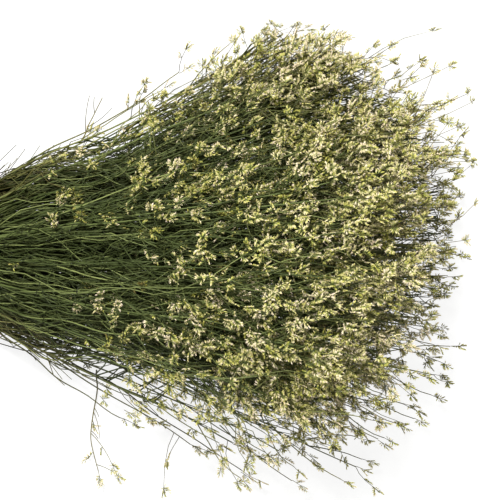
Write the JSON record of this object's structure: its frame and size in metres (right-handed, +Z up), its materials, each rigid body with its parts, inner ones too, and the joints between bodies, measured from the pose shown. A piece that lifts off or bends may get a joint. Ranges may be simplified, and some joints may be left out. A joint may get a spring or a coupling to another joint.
{
  "type": "dried statice bunch",
  "caption": "Bunch of dried statice lying on its side: fine branching stems, gathered near their cut ends by a rubber band, open into a wide head of small papery flowers.",
  "frame": {"origin": "middle of the rubber band's flat underside, on the surface that the bunch lies on", "axes": "+X along the bunch from the band towards the flowers, +Y level across the bunch, +Z up from the surface"},
  "size_m": [0.6338, 0.4271, 0.2058],
  "materials": {
    "stem": "dry matt bark, olive green",
    "flower": "dry papery calyces, cream",
    "rubber": "natural tan rubber"
  },
  "bodies": {
    "root": {"band": "rubber", "spray_01": "stem", "spray_02": "stem", "spray_03": "stem", "spray_04": "stem", "spray_05": "stem", "spray_06": "stem", "spray_07": "stem", "spray_08": "stem", "spray_09": "stem", "spray_10": "stem", "spray_11": "stem", "spray_12": "stem", "spray_13": "stem", "spray_14": "stem", "spray_15": "stem", "spray_16": "stem", "spray_17": "stem", "spray_18": "stem", "spray_19": "stem", "spray_20": "stem", "spray_21": "stem", "spray_22": "stem", "spray_23": "stem", "spray_24": "stem", "spray_25": "stem", "spray_26": "stem", "spray_27": "stem", "spray_28": "stem", "spray_29": "stem", "spray_30": "stem", "spray_31": "stem", "spray_32": "stem", "spray_33": "stem", "spray_34": "stem", "spray_35": "stem", "spray_36": "stem", "spray_37": "stem", "spray_38": "stem", "spray_39": "stem", "spray_40": "stem", "spray_41": "stem", "spray_42": "stem", "spray_43": "stem", "spray_44": "stem", "spray_45": "stem", "spray_46": "stem", "spray_47": "stem", "spray_48": "stem", "spray_49": "stem", "spray_50": "stem"}
  },
  "joints": []
}
